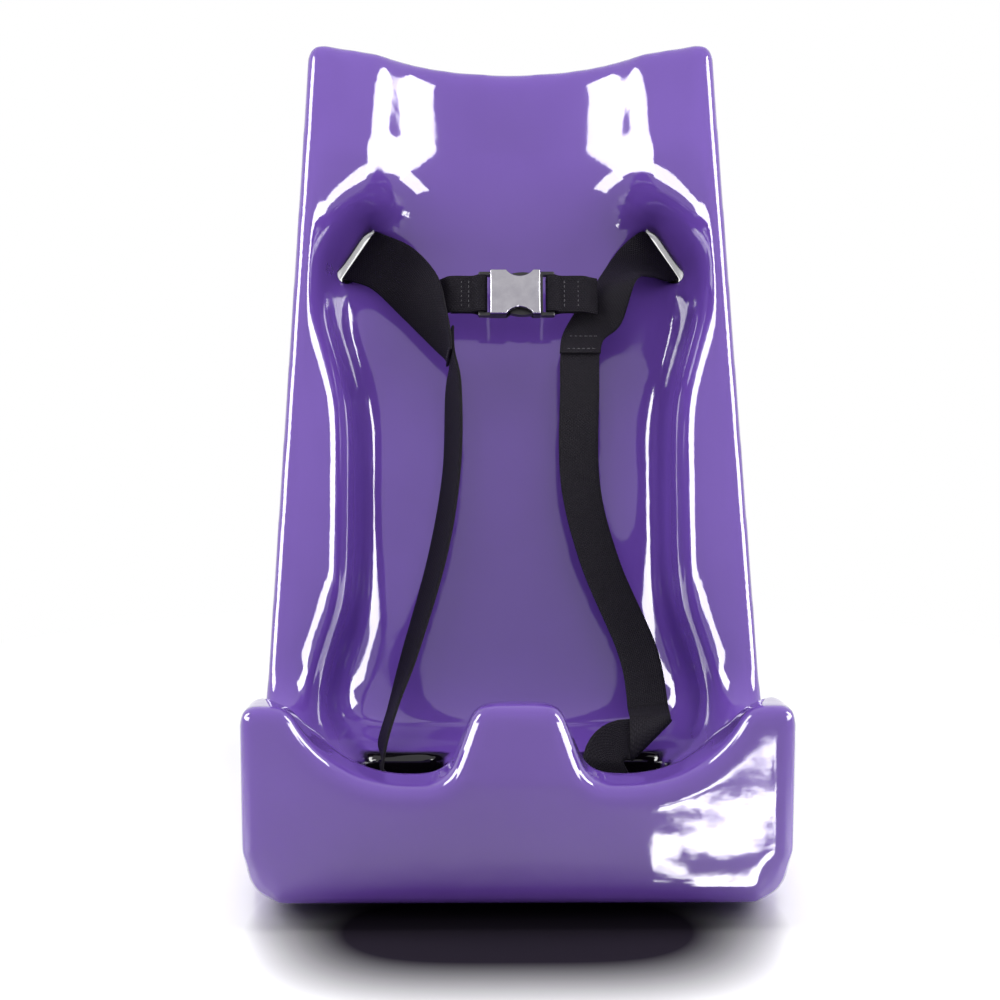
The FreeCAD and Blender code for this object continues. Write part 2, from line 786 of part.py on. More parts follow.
def in_buckle(x, y, z):
    """A point given in the buckle's own frame."""
    back = math.radians(buckle_lean)
    up = Vector(0, math.sin(back), math.cos(back))
    out = Vector(0, -math.cos(back), math.sin(back))
    return wing(buckle_station, buckle_depth, buckle_reach) + across * x + up * y + out * z


def placed_in_buckle(shape):
    spot = in_buckle(0, 0, 0)
    up = in_buckle(0, 1, 0) - spot
    out = in_buckle(0, 0, 1) - spot
    place = Matrix(1, 0, 0, spot.x, 0, up.y, out.y, spot.y, 0, up.z, out.z, spot.z, 0, 0, 0, 1)
    return shape.transformed(place)


def centred(x, height, thickness):
    """A box along the buckle, centred on its axis."""
    return box(x, (-height / 2, height / 2), (-thickness / 2, thickness / 2))


def lengthwise(shape):
    return [edge for edge in shape.Edges if edge.BoundBox.XLength > shape.BoundBox.XLength / 2]


def strap_loop(start, side):
    """The frame with the bar that the chest webbing turns round."""
    end = start + side * (loop_slot + loop_bar)
    x = (min(start, end), max(start, end))
    frame = centred(x, housing_height, loop_thickness)
    slot_end = start + side * loop_slot
    slot = centred((min(start, slot_end), max(start, slot_end)), hip_webbing + 2 * plug_clearance,
                   2 * loop_thickness)
    frame = frame.cut(slot)
    outer = [edge for edge in frame.Edges if abs(edge.CenterOfMass.x - end) < plug_clearance]
    return frame.makeFillet(loop_radius, [edge for edge in outer if edge.Length > loop_thickness / 2])


def scallops():
    """The thumb openings in the top and bottom edges."""
    tools = []
    for side in (-1, 1):
        y = side * (housing_height / 2 + scallop_radius - scallop_depth)
        foot = Vector(scallop_shift, y, -housing_thickness)
        tools.append(Part.makeCylinder(scallop_radius, 2 * housing_thickness, foot))
    return tools


def buckle_housing():
    half = housing_length / 2
    body = centred((-half, half), housing_height, housing_thickness)
    body = body.makeFillet(housing_radius, lengthwise(body))
    wall = 2 * housing_wall
    hollow = centred((housing_wall - half, half + wall), housing_height - wall, housing_thickness - wall)
    window = (scallop_shift - window_length / 2, scallop_shift + window_length / 2)
    windows = centred(window, 2 * housing_height, arm_thickness + 2 * plug_clearance)
    body = body.cut([hollow, windows] + scallops())
    return placed_in_buckle(body.fuse(strap_loop(-half, -1)))


def buckle_cover():
    """The bright plate on the front of the housing."""
    half = housing_length / 2
    front = (housing_thickness / 2, housing_thickness / 2 + cover_thickness)
    plate = box((-half, half), (-housing_height / 2, housing_height / 2), front)
    plate = plate.cut(scallops())
    rim = [edge for edge in plate.Edges if edge.BoundBox.ZMin > front[1] - cover_radius]
    return placed_in_buckle(plate.makeFillet(cover_radius, rim))


def arm_pivot_x():
    return housing_length / 2 - arm_setback


def buckle_plug():
    mouth = housing_length / 2
    inside = 2 * (housing_wall + plug_clearance)
    collar_start = mouth - collar_length
    flange_start = mouth + plug_clearance
    flange_end = flange_start + flange_length
    collar = centred((collar_start, flange_end), housing_height - inside, housing_thickness - inside)
    flange = centred((flange_start, flange_end), housing_height, loop_thickness)
    tongue = centred((collar_start - tongue_length, collar_start), tongue_height, tongue_thickness)
    sockets = []
    for side in (-1, 1):
        y = side * (arm_offset + arm_height / 2)
        foot = Vector(arm_pivot_x(), y, -housing_thickness / 2)
        reach = arm_height / 2 + plug_clearance
        sockets.append(Part.makeCylinder(reach, housing_thickness, foot))
        sockets.append(box((collar_start, arm_pivot_x()), (y - reach, y + reach),
                           (-housing_thickness / 2, housing_thickness / 2)))
    collar = collar.cut(sockets)
    return placed_in_buckle(collar.fuse([flange, tongue, strap_loop(flange_end, 1)]))


def release_arm(side):
    """An arm of the plug, with its thumb pad and catch, side 1 for the upper one."""
    inner = side * arm_offset
    outer = side * (arm_offset + arm_height)
    middle = side * (arm_offset + arm_height / 2)
    wall = housing_height / 2 - housing_wall
    root = arm_pivot_x()
    tip = root - arm_length
    catch = scallop_shift + window_length / 2 - plug_clearance
    pad_end = catch - pad_length
    z = -arm_thickness / 2
    points = [
        Vector(root, outer, z), Vector(catch, outer, z), Vector(catch, side * (wall + catch_rise), z),
        Vector(pad_end, side * wall, z), Vector(pad_end, outer, z), Vector(tip, outer, z),
        Vector(tip, inner, z), Vector(root, inner, z),
    ]
    crown = Vector((catch + pad_end) / 2, side * (wall + pad_rise), z)
    edges = []
    for i, (p, q) in enumerate(zip(points, points[1:])):
        if i == 2:
            edges.append(Part.Arc(p, crown, q).toShape())
        else:
            edges.append(Part.LineSegment(p, q).toShape())
    edges.append(Part.Arc(points[-1], Vector(root + arm_height / 2, middle, z), points[0]).toShape())
    arm = Part.Face(Part.Wire(edges)).extrude(Vector(0, 0, arm_thickness))
    return placed_in_buckle(arm)


def loop_bar_span(side):
    """Inner and outer side of the loop's bar, counted from the buckle's centre."""
    start = housing_length / 2
    if side > 0:
        start += plug_clearance + flange_length
    return start + loop_slot, start + loop_slot + loop_bar


def chest_strap(side):
    """From the junction to the buckle, round the loop's bar and back to where it is sewn."""
    bar_in, bar_out = loop_bar_span(side)
    middle = webbing_thickness / 2
    turn = middle + plug_clearance
    round_out = loop_thickness / 2 + turn
    layer = middle + sewn_gap / 2
    sewn = bar_out + sewn_setback
    drop = right_end_drop if side > 0 else left_end_drop
    sewn_end = sewn + sewn_length
    path = [
        (chest_end_reach, -drop), ((chest_end_reach + sewn_end) / 2, (layer - drop) / 2),
        (sewn_end, layer), (sewn, layer), (bar_out, round_out), (bar_in, round_out),
    ]
    for i in range(1, steps + 1):
        angle = math.pi / 2 * i / steps
        path.append((bar_in - turn * math.sin(angle), round_out - turn * (1 - math.cos(angle))))
    back = [(x, -z) for x, z in reversed(path[2:])]
    half = (in_buckle(0, 1, 0) - in_buckle(0, 0, 0)) * (hip_webbing / 2)
    return ribbon([(in_buckle(side * x, 0, z), half) for x, z in path + back])


def chest_stitching(side):
    """Two rows of thread across the sewn part of a chest strap."""
    sewn = loop_bar_span(side)[1] + sewn_setback
    front = webbing_thickness + sewn_gap / 2 + stitch_gap
    half = hip_webbing / 2 - stitch_inset
    rows = []
    for reach in (sewn + stitch_setback, sewn + sewn_length - stitch_setback):
        x = sorted((side * reach, side * (reach + stitch_width)))
        rows.append(placed_in_buckle(box(x, (-half, half), (front, front + stitch_thickness))))
    return Part.makeCompound(rows)


def build():
    """Every node by name, with the origin at the front of the block."""
    nodes = {"seat_body": seat_body()}
    for side, name in ((-1, "left"), (1, "right")):
        nodes[name + "_shoulder_strap"] = shoulder_strap(side)
        nodes[name + "_hip_strap"] = hip_strap(side)
        nodes[name + "_chest_strap"] = chest_strap(side)
        nodes[name + "_chest_stitching"] = chest_stitching(side)
        nodes[name + "_slide"] = rear_slide(side)
    nodes["rear_stitching"] = rear_stitching()
    nodes["buckle_housing"] = buckle_housing()
    nodes["buckle_cover"] = buckle_cover()
    nodes["buckle_plug"] = buckle_plug()
    nodes["upper_release_arm"] = release_arm(1)
    nodes["lower_release_arm"] = release_arm(-1)
    return nodes


rest_start, rest_end = resting_span()
origin = Vector(0, (rest_start + rest_end) / 2, 0)
os.makedirs("parts", exist_ok=True)
for name, shape in build().items():
    shape.translate(-origin)
    shape.exportStep("parts/" + name + ".step")

way, out = rear_ways()
print("resting face", rest_end - rest_start, "mm long")
for label, point in (
    ("buckle centre", in_buckle(0, 0, 0)),
    ("upper arm pivot", in_buckle(arm_pivot_x(), arm_offset + arm_height / 2, 0)),
    ("lower arm pivot", in_buckle(arm_pivot_x(), -arm_offset - arm_height / 2, 0)),
    ("left slide", wing(slide_station, rear_depth(slide_station), -rear_reach)),
    ("right slide", wing(slide_station, rear_depth(slide_station), rear_reach)),
):
    point = point - origin
    print(label, point.x, point.y, point.z)
print("up the rear face", way.x, way.y, way.z)
print("out of the buckle", in_buckle(0, 0, 1) - in_buckle(0, 0, 0))
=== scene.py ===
import math

import bmesh
import bpy
import numpy as np
from mathutils import Matrix, Vector
from mathutils.bvhtree import BVHTree


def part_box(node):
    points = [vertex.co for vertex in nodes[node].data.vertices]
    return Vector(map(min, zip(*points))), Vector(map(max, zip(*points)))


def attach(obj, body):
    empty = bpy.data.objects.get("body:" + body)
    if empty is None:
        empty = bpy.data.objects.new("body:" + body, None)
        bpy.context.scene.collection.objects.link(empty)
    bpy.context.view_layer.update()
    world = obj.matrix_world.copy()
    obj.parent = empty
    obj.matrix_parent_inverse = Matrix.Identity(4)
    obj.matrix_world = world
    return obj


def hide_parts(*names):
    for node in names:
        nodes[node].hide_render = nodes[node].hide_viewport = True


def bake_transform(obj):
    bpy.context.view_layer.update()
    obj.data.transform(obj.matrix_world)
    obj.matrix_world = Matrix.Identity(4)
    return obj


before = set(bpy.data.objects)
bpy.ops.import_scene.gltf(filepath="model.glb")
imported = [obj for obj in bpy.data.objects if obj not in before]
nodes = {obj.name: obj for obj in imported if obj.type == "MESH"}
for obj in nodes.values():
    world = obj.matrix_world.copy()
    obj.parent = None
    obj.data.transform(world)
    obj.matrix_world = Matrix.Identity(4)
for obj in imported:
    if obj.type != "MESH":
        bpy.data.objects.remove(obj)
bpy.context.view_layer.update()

# The seat is drawn in millimetres, counted from the front of its block, as the source counts it,
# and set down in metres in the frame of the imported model.
MM = 0.001
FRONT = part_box("seat_body")[0].y


def put(point):
    return Vector((point.x * MM, point.y * MM + FRONT, point.z * MM))


# Named sizes, as in the source

recline = math.radians(25)
up_back = Vector((0, math.sin(recline), math.cos(recline)))
into_back = Vector((0, math.cos(recline), -math.sin(recline)))
across = Vector((1, 0, 0))
floor_way = Vector((0, 1, 0))
wing_foot = Vector((0, 136, 0))
back_length = 515.0
rear_foot, rear_top = 132.0, 70.0
cushion_foot, cushion_top = 90.0, 50.0
slot_station, slot_reach = 395.0, 98.5
slot_tilt = math.radians(57)
slot_half_length, slot_half_width = 22.0, 5.5
hip_reach, hip_setback = 67.0, 168.0
hip_half_length, hip_half_width = 26.0, 14.75
pan_height = 46.0
channel_roof = 6.5
heel_radius = 42.0


def wing(station, depth=0.0, x=0.0):
    return wing_foot + up_back * station + into_back * depth + across * x


def rear_depth(station):
    return rear_foot - (rear_foot - rear_top) * station / back_length


def cushion_depth(station):
    return cushion_foot - (cushion_foot - cushion_top) * station / back_length


def slot_way(side):
    return across * (side * math.cos(slot_tilt)) - up_back * math.sin(slot_tilt)


# Camera: straight on, a little above the seat's top

pitch = math.radians(11.5)
yaw = math.radians(0.51)
gaze = Vector((math.sin(yaw) * math.cos(pitch), math.cos(yaw) * math.cos(pitch), -math.sin(pitch)))
right = Vector((math.cos(yaw), -math.sin(yaw), 0))
above = right.cross(gaze)
focal = 2900.0
picture_width = 1000.0
sensor_width = 36.0
distance = 1600.0
# The middle of the front's bottom edge, and where the picture shows it, in pixels from its own middle
front_foot = Vector((0, 0, 15))
foot_right, foot_below = 18, 405
eye = front_foot - gaze * distance
eye = eye - right * (foot_right * distance / focal) + above * (foot_below * distance / focal)
camera_data = bpy.data.cameras.new("camera")
camera_data.sensor_width = sensor_width
camera_data.lens = focal * sensor_width / picture_width
camera = bpy.data.objects.new("camera", camera_data)
camera.matrix_world = Matrix.Translation(put(eye)) @ Matrix((right, above, -gaze)).transposed().to_4x4()
bpy.context.collection.objects.link(camera)
bpy.context.scene.camera = camera


# Materials

def new_material(name):
    material = bpy.data.materials.new(name)
    material.use_nodes = True
    tree = material.node_tree
    return material, tree, tree.nodes["Principled BSDF"]


def add(tree, kind, **values):
    """A new node. A name that starts with _ sets a property, any other name sets a socket."""
    node = tree.nodes.new(kind)
    for key, value in values.items():
        if key.startswith("_"):
            setattr(node, key[1:], value)
        else:
            node.inputs[key.replace("_", " ")].default_value = value
    return node


def link(tree, source, target):
    tree.links.new(source, target)


def maths(tree, operation, a, b=None):
    node = tree.nodes.new("ShaderNodeMath")
    node.operation = operation
    for i, value in enumerate((a, b)):
        if value is None:
            continue
        if isinstance(value, (int, float)):
            node.inputs[i].default_value = value
        else:
            link(tree, value, node.inputs[i])
    return node.outputs[0]


def ramp(tree, factor, low, high, low_at=0.0, high_at=1.0):
    node = tree.nodes.new("ShaderNodeValToRGB")
    stops = node.color_ramp.elements
    stops[0].position, stops[1].position = low_at, high_at
    stops[0].color, stops[1].color = (*low, 1), (*high, 1)
    link(tree, factor, node.inputs["Fac"])
    return node.outputs["Color"]


def grey(value):
    return (value, value, value)


def seen_rays(tree):
    """1 where the camera sees the surface, also in a mirror or through glass."""
    path = add(tree, "ShaderNodeLightPath")
    seen = maths(tree, "MAXIMUM", path.outputs["Is Camera Ray"], path.outputs["Is Glossy Ray"])
    return maths(tree, "MAXIMUM", seen, path.outputs["Is Transmission Ray"])


def noise_of(tree, scale, detail=2.0, roughness=0.5):
    where = add(tree, "ShaderNodeTexCoord")
    node = add(tree, "ShaderNodeTexNoise", Scale=scale, Detail=detail, Roughness=roughness)
    link(tree, where.outputs["Object"], node.inputs["Vector"])
    return node.outputs["Fac"]


def bump(tree, height, distance, strength=1.0, before=None):
    node = add(tree, "ShaderNodeBump", Distance=distance, Strength=strength)
    link(tree, height, node.inputs["Height"])
    if before is not None:
        link(tree, before, node.inputs["Normal"])
    return node.outputs["Normal"]


def vinyl_material():
    """Thick sprayed skin: deep gloss, slight orange peel, faint mottling, and painted shade that makes
    the inside of the hip slots near black and without coat.
    """
    material, tree, shader = new_material("glossy_skin")
    purple, paler = (0.120, 0.053, 0.316), (0.137, 0.064, 0.356)
    tint = ramp(tree, noise_of(tree, 9.0, 3.0), purple, paler, 0.3, 0.7)
    # Painted shade: this attribute marks the inside of the hip slots, which get a near black colour and
    # lose their coat.
    hollow = add(tree, "ShaderNodeAttribute", _attribute_name="hollow")
    slot_shade_mix = add(tree, "ShaderNodeMix", _data_type="RGBA")
    link(tree, hollow.outputs["Fac"], slot_shade_mix.inputs["Factor"])
    link(tree, tint, slot_shade_mix.inputs["A"])
    slot_shade_mix.inputs["B"].default_value = (0.003, 0.002, 0.004, 1)
    link(tree, slot_shade_mix.outputs["Result"], shader.inputs["Base Color"])
    outside_slot_shade = maths(tree, "SUBTRACT", 1.0, hollow.outputs["Fac"])
    link(tree, maths(tree, "MULTIPLY", outside_slot_shade, 0.4), shader.inputs["Coat Weight"])
    smear = ramp(tree, noise_of(tree, 26.0, 4.0, 0.6), grey(0.05), grey(0.11), 0.35, 0.75)
    link(tree, smear, shader.inputs["Roughness"])
    peel = bump(tree, noise_of(tree, 150.0, 1.0), 0.00005)
    waves = bump(tree, noise_of(tree, 38.0, 1.0), 0.0004, 1.0, peel)
    link(tree, waves, shader.inputs["Normal"])
    shader.inputs["IOR"].default_value = 1.5
    shader.inputs["Coat Roughness"].default_value = 0.03
    return material


def webbing_material():
    """Woven black tape: two sets of floats side by side, a crown on each, a soft sheen, and painted
    shade and highlight: the colour is darker between the floats and paler on their crowns.
    """
    material, tree, shader = new_material("webbing")
    float_width, float_length = 1.25, 1.9
    low, high = (0.0026, 0.002, 0.0034), (0.0095, 0.008, 0.012)
    uv = add(tree, "ShaderNodeUVMap", _uv_map="weave")
    split = add(tree, "ShaderNodeSeparateXYZ")
    link(tree, uv.outputs["UV"], split.inputs[0])
    u = maths(tree, "MULTIPLY", split.outputs[0], 1.0 / float_width)
    v = maths(tree, "MULTIPLY", split.outputs[1], 1.0 / float_length)
    odd = maths(tree, "MODULO", maths(tree, "FLOOR", maths(tree, "ADD", u, 1000.0)), 2.0)
    v = maths(tree, "ADD", v, maths(tree, "MULTIPLY", odd, 0.5))
    along = maths(tree, "ABSOLUTE", maths(tree, "SINE", maths(tree, "MULTIPLY", v, math.pi)))
    aside = maths(tree, "ABSOLUTE", maths(tree, "SINE", maths(tree, "MULTIPLY", u, math.pi)))
    along = maths(tree, "POWER", along, 0.5)
    aside = maths(tree, "POWER", aside, 0.6)
    float_height = maths(tree, "MULTIPLY", along, aside)
    fuzz = noise_of(tree, 900.0, 2.0)
    height = maths(tree, "ADD", float_height, maths(tree, "MULTIPLY", fuzz, 0.25))
    # Painted shade and highlight: the float height makes the colour darker in the gaps and paler on the
    # crowns; the fuzz adds random tone.
    link(tree, ramp(tree, height, low, high, 0.1, 1.1), shader.inputs["Base Color"])
    link(tree, ramp(tree, fuzz, grey(0.42), grey(0.62)), shader.inputs["Roughness"])
    link(tree, bump(tree, height, 0.00035), shader.inputs["Normal"])
    shader.inputs["Specular IOR Level"].default_value = 0.06
    shader.inputs["Sheen Weight"].default_value = 0.02
    shader.inputs["Sheen Roughness"].default_value = 0.4
    shader.inputs["Sheen Tint"].default_value = (0.75, 0.7, 0.85, 1)
    return material


def plastic_material(name, colour, roughness):
    """Moulded plastic with a fine grain and rubbed places."""
    material, tree, shader = new_material(name)
    rubbed = noise_of(tree, 60.0, 4.0, 0.6)
    paler = tuple(min(1.0, c * 1.5 + 0.004) for c in colour)
    link(tree, ramp(tree, rubbed, colour, paler, 0.45, 0.8), shader.inputs["Base Color"])
    worn = ramp(tree, rubbed, grey(roughness), grey(roughness * 1.35), 0.3, 0.8)
    link(tree, worn, shader.inputs["Roughness"])
    link(tree, bump(tree, noise_of(tree, 1500.0, 2.0), 0.00004), shader.inputs["Normal"])
    return material


def thread_material():
    """Twisted thread: slanted dark and pale bands."""
    material, tree, shader = new_material("thread")
    twist = add(tree, "ShaderNodeTexWave", Scale=420.0, Distortion=1.5, _bands_direction="DIAGONAL")
    where = add(tree, "ShaderNodeTexCoord")
    link(tree, where.outputs["Object"], twist.inputs["Vector"])
    bands = ramp(tree, twist.outputs["Fac"], (0.01, 0.009, 0.012), (0.05, 0.045, 0.06))
    link(tree, bands, shader.inputs["Base Color"])
    link(tree, bump(tree, twist.outputs["Fac"], 0.0001), shader.inputs["Normal"])
    shader.inputs["Roughness"].default_value = 0.4
    return material


def bright_material():
    """Plated plastic, satin, with a faint brushed haze."""
    material, tree, shader = new_material("bright_plate")
    haze = noise_of(tree, 120.0, 3.0, 0.6)
    plating = ramp(tree, haze, (0.37, 0.355, 0.40), (0.44, 0.425, 0.465), 0.3, 0.7)
    link(tree, plating, shader.inputs["Base Color"])
    link(tree, ramp(tree, haze, grey(0.16), grey(0.27), 0.3, 0.75), shader.inputs["Roughness"])
    link(tree, bump(tree, noise_of(tree, 320.0, 2.0), 0.00002), shader.inputs["Normal"])
    shader.inputs["Metallic"].default_value = 1.0
    return material


def floor_material():
    """Pale glossy table that runs out into plain white, with a painted shadow: a near black oval painted
    on the table around the foot of the block's front.
    """
    material, tree, shader = new_material("table")
    shader.inputs["Roughness"].default_value = 0.22
    white_from, white_at = 0.32, 0.62
    shade_half_width, shade_depth = 0.152, 0.122
    where = add(tree, "ShaderNodeTexCoord")
    pale = ramp(tree, noise_of(tree, 1.5, 2.0), grey(0.94), grey(0.96))
    link(tree, pale, shader.inputs["Base Color"])
    axes = add(tree, "ShaderNodeSeparateXYZ")
    link(tree, where.outputs["Object"], axes.inputs[0])
    aside = maths(tree, "ABSOLUTE", maths(tree, "DIVIDE", axes.outputs["X"], shade_half_width))
    ahead = maths(tree, "SUBTRACT", axes.outputs["Y"], FRONT)
    ahead = maths(tree, "DIVIDE", ahead, shade_depth)
    aside, ahead = maths(tree, "POWER", aside, 4.0), maths(tree, "MULTIPLY", ahead, ahead)
    # Painted shadow: a near black oval around the middle of the block's front edge, fading outwards.
    shade = ramp(tree, maths(tree, "ADD", aside, ahead), grey(1), grey(0), 0.16, 1.0)
    painted_shadow = add(tree, "ShaderNodeBsdfDiffuse")
    painted_shadow.inputs["Color"].default_value = (0.016, 0.013, 0.020, 1)
    table = add(tree, "ShaderNodeMixShader")
    link(tree, shade, table.inputs[0])
    link(tree, shader.outputs[0], table.inputs[1])
    link(tree, painted_shadow.outputs[0], table.inputs[2])
    length = add(tree, "ShaderNodeVectorMath", _operation="LENGTH")
    link(tree, where.outputs["Object"], length.inputs[0])
    out = ramp(tree, length.outputs["Value"], grey(0), grey(1), white_from, white_at)
    share = maths(tree, "MULTIPLY", out, seen_rays(tree))
    white = add(tree, "ShaderNodeEmission", Strength=1.0)
    mix = add(tree, "ShaderNodeMixShader")
    link(tree, share, mix.inputs[0])
    link(tree, table.outputs[0], mix.inputs[1])
    link(tree, white.outputs[0], mix.inputs[2])
    link(tree, mix.outputs[0], tree.nodes["Material Output"].inputs["Surface"])
    return material


skin = vinyl_material()
webbing = webbing_material()
black = plastic_material("buckle_black", (0.010, 0.009, 0.011), 0.3)
slide_black = plastic_material("slide_black", (0.014, 0.013, 0.014), 0.4)
thread = thread_material()
bright = bright_material()


# Mesh helpers

def surface(mesh, material, smooth=True):
    mesh.materials.clear()
    mesh.materials.append(material)
    for face in mesh.polygons:
        face.use_smooth = smooth


def new_object(name, mesh, material, smooth=True):
    obj = bpy.data.objects.new(name, mesh)
    bpy.context.collection.objects.link(obj)
    surface(mesh, material, smooth)
    return obj


def object_of(name, built, material):
    """An object from a finished bmesh, with its faces turned outwards."""
    bmesh.ops.recalc_face_normals(built, faces=built.faces)
    mesh = bpy.data.meshes.new(name)
    built.to_mesh(mesh)
    built.free()
    return new_object(name, mesh, material)


def apply_modifiers(obj):
    graph = bpy.context.evaluated_depsgraph_get()
    mesh = bpy.data.meshes.new_from_object(obj.evaluated_get(graph))
    obj.modifiers.clear()
    old = obj.data
    obj.data = mesh
    bpy.data.meshes.remove(old)


# Seat: the moulded foam with its skin

def ease(value, low, high):
    """0 below low, 1 above high, smooth between them. It works on arrays."""
    share = np.clip((value - low) / (high - low), 0.0, 1.0)
    return share * share * (3 - 2 * share)


def relax(points, edges, weight, rounds):
    """Draws each point, in place, towards its neighbours' middle, as far as its weight allows."""
    free = weight > 0.001
    near = edges[free[edges[:, 0]] | free[edges[:, 1]]]
    used = np.unique(near)
    a = np.searchsorted(used, near[:, 0])
    b = np.searchsorted(used, near[:, 1])
    count = len(used)
    links = np.maximum(np.bincount(a, minlength=count) + np.bincount(b, minlength=count), 1)
    pull = 0.5 * weight[used]
    for k in range(3):
        row = points[used, k]
        for _ in range(rounds):
            total = np.bincount(a, row[b], count) + np.bincount(b, row[a], count)
            row = row + pull * (total / links - row)
        points[used, k] = row


def slot_gap(points, centre, way, run, half_length, half_width):
    """How far points lie outside a round ended slot, measured square to its run."""
    off = points - np.array(centre)
    way, run = np.array(way), np.array(run)
    off = off - np.outer(off @ run, run)
    straight = half_length - half_width
    along = np.clip(off @ way, -straight, straight)
    return np.linalg.norm(off - np.outer(along, way), axis=1) - half_width


def shoulder_slot_gap(points, side):
    centre = wing(slot_station, 0, side * slot_reach)
    return slot_gap(points, centre, slot_way(side), into_back, slot_half_length, slot_half_width)


def hip_slot_gap(points, side, back=0.0):
    centre = (side * hip_reach, hip_setback + back, 0)
    return slot_gap(points, centre, across, (0, 0, 1), hip_half_length, hip_half_width)


def shape_seat(points, edges):
    """Softens the moulded form where foam under a thick skin is soft."""
    x, y, z = points.T
    rel = points - np.array(wing_foot)
    station = rel @ np.array(up_back)
    depth = rel @ np.array(into_back)
    # Half of the bucket's width and of the whole back's width, by station
    half = np.interp(station, [0, 105, 162, 286, 350, 396, 424, 450, 520],
                     [120.5, 120.5, 101.5, 101.5, 120, 120, 96, 86, 86])
    outer = np.interp(station, [54, back_length], [152.5, 129.75])
    # The back's front side, inside its rims and below the head, then the pan and the bottom corners
    side = ease(np.minimum(half + 34, outer - 7) - np.abs(x), 0.0, 14.0)
    front_side = ease((cushion_depth(station) + rear_depth(station)) / 2 - depth, -3.0, 6.0)
    head = 1.0 - 0.8 * ease(station, 425.0, 452.0)
    back = side * front_side * head * ease(station, 60.0, 100.0)
    pan = ease(132.0 - np.abs(x), 0.0, 6.0) * ease(y, 30.0, 42.0) * ease(z, 24.0, 36.0)
    pan = pan * ease(250.0 - y, 0.0, 20.0) * (1 - ease(station, 90.0, 130.0))
    weight = np.maximum(back, pan)
    bottom = ease(np.abs(x), 132.0, 142.0) * ease(46.0 - z, 0.0, 14.0) * ease(90.0 - y, 0.0, 30.0)
    weight = np.maximum(weight, 0.8 * bottom)
    # The slots keep their edges
    for side_sign in (-1, 1):
        weight = weight * (0.05 + 0.95 * ease(shoulder_slot_gap(points, side_sign), 1.0, 12.0))
        weight = weight * (0.05 + 0.95 * ease(hip_slot_gap(points, side_sign), 1.0, 10.0))
    weight = weight * np.maximum(ease(outer - np.abs(x), 6.0, 16.0), 0.8 * bottom)
    crown = ease(station, 330.0, 375.0) * (1 - ease(station, 432.0, 450.0)) * side * front_side
    relax(points, edges, weight, 230)
    relax(points, edges, weight * crown, 150)
    # The head trough flows into the bucket between the shoulder pockets
    throat = ease(station, 340.0, 375.0) * (1 - ease(station, 440.0, 462.0))
    throat = throat * ease(92.0 - np.abs(x), 0.0, 22.0)
    relax(points, edges, throat * front_side, 420)


def dress_seat(points, normals):
    """Falling horn tops, a pommel that leans back, a higher top and one pimple on the front."""
    horn_fall, pommel_lean, top_rise = 9.0, 0.17, 4.5
    pimple_x, pimple_z, pimple_size, pimple_height = -22.0, 99.0, 1.3, 0.9
    x, y, z = points[:, 0].copy(), points[:, 1].copy(), points[:, 2].copy()
    horns = ease(z, 92.0, 124.0) * (1 - ease(y, 66.0, 84.0))
    points[:, 2] -= horns * horn_fall * np.clip(y / 56.0, 0.0, 1.1)
    pommel = (1 - ease(np.abs(x), 38.0, 50.0)) * (1 - ease(y, 20.0, 46.0))
    points[:, 1] += pommel * np.maximum(z - 84.0, 0.0) * pommel_lean
    station = (points - np.array(wing_foot)) @ np.array(up_back)
    points += np.outer(top_rise * ease(station, 430.0, 505.0), np.array(up_back))
    away = (x - pimple_x) ** 2 + (z - pimple_z) ** 2
    spot = np.exp(-away / (2 * pimple_size ** 2)) * ease(14.0 - y, 0.0, 4.0)
    points += normals * (spot * pimple_height)[:, None]


def open_slots(points):
    """Draws the rear edge of the hip slots back, as the photo shows them longer than the solids do."""
    slot_growth = 11.0
    x, y = points[:, 0], points[:, 1]
    across_it = 1 - ease(np.abs(np.abs(x) - 66.0), 24.0, 40.0)
    along_it = ease(y, 160.0, 181.0) * (1 - ease(y, 184.0, 236.0))
    points[:, 1] += slot_growth * across_it * along_it * (1 - ease(points[:, 2], 90.0, 110.0))


def hollow_shade(points):
    """Painted shade for the hip slots: 0 on the pan, 1 deep in a slot, where the skin is painted near
    black.
    """
    shade = np.zeros(len(points))
    for side_sign in (-1, 1):
        gap = hip_slot_gap(points, side_sign, 2.0)
        away = np.maximum(points[:, 1] - 183.0, 0.0)
        inside = 1 - ease(gap - np.minimum(away, 12.0), 2.0, 4.5)
        deep = ease(47.5 - points[:, 2], 0.0, 3.0)
        shade = np.maximum(shade, inside * deep)
    return shade


